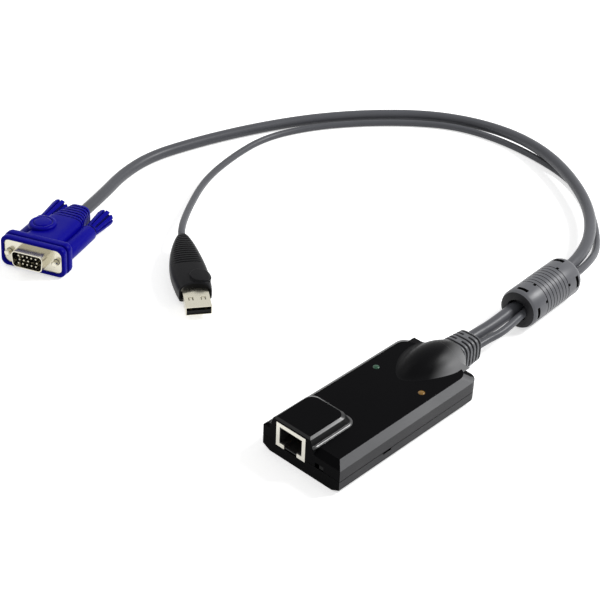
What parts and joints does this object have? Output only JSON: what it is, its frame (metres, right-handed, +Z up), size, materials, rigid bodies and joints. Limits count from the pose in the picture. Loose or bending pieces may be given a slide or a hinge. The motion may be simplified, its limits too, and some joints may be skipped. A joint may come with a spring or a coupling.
{
  "type": "kvm dongle",
  "caption": "Black adapter box with a network jack, ribbed boot, cables through a ferrite, blue VGA plug and black USB plug.",
  "frame": {"origin": "under the middle of the adapter box, on the surface that it stands on", "axes": "+X to the right of someone who looks into the jack, +Y from the jack towards the cables, +Z up"},
  "size_m": [0.2541, 0.2895, 0.0199],
  "materials": {
    "case_black": "fine grain",
    "board_green": "solder mask",
    "chip_black": "moulded",
    "header_white": "moulded",
    "lead_grey": "flexible",
    "led_chip": "clear resin",
    "green_lamp": "translucent",
    "amber_lamp": "translucent",
    "shield_metal": "tin plated",
    "insert_black": "moulded",
    "contact_gold": "gold plated",
    "switch_metal": "plated",
    "switch_knob": "moulded",
    "boot_rubber": "soft",
    "cable_jacket": "flexible, satin",
    "ferrite_jacket": "satin",
    "ferrite_core": "sintered",
    "vga_blue": "satin",
    "plug_steel": "nickel plated",
    "carrier_black": "moulded",
    "usb_black": "satin"
  },
  "bodies": {
    "adapter": {"top_cover": "case_black", "bottom_cover": "case_black", "circuit_board": "board_green", "board_chips": "chip_black", "cable_header": "header_white", "cable_leads": "lead_grey", "status_leds": "led_chip", "green_light_pipe": "green_lamp", "amber_light_pipe": "amber_lamp", "rj45_shield": "shield_metal", "rj45_insert": "insert_black", "rj45_contacts": "contact_gold", "switch_body": "switch_metal", "cable_boot": "boot_rubber", "vga_cable": "cable_jacket", "usb_cable": "cable_jacket", "ferrite_jacket": "ferrite_jacket", "ferrite_core": "ferrite_core", "vga_hood": "vga_blue", "vga_shell": "plug_steel", "vga_insulator": "carrier_black", "vga_pins": "contact_gold", "usb_grip": "usb_black", "usb_shell": "plug_steel", "usb_insulator": "carrier_black", "usb_contacts": "contact_gold"},
    "switch_slider": {"switch_knob": "switch_knob"},
    "left_thumbscrew": {"left_jackscrew": "plug_steel", "left_screw_knob": "vga_blue"},
    "right_thumbscrew": {"right_jackscrew": "plug_steel", "right_screw_knob": "vga_blue"}
  },
  "joints": [
    {"name": "switch_slide", "type": "slide", "parent": "adapter", "child": "switch_slider", "axis": [-1, 0, 0], "range_m": [0, 0.002]},
    {"name": "left_screw_turn", "type": "hinge", "parent": "adapter", "child": "left_thumbscrew", "pos_m": [-0.21522, 0.00321, 0.00611], "axis": [-0.3789, 0.9239, -0.0523], "continuous": true},
    {"name": "right_screw_turn", "type": "hinge", "parent": "adapter", "child": "right_thumbscrew", "pos_m": [-0.19209, 0.0127, 0.00611], "axis": [-0.3789, 0.9239, -0.0523], "continuous": true}
  ]
}
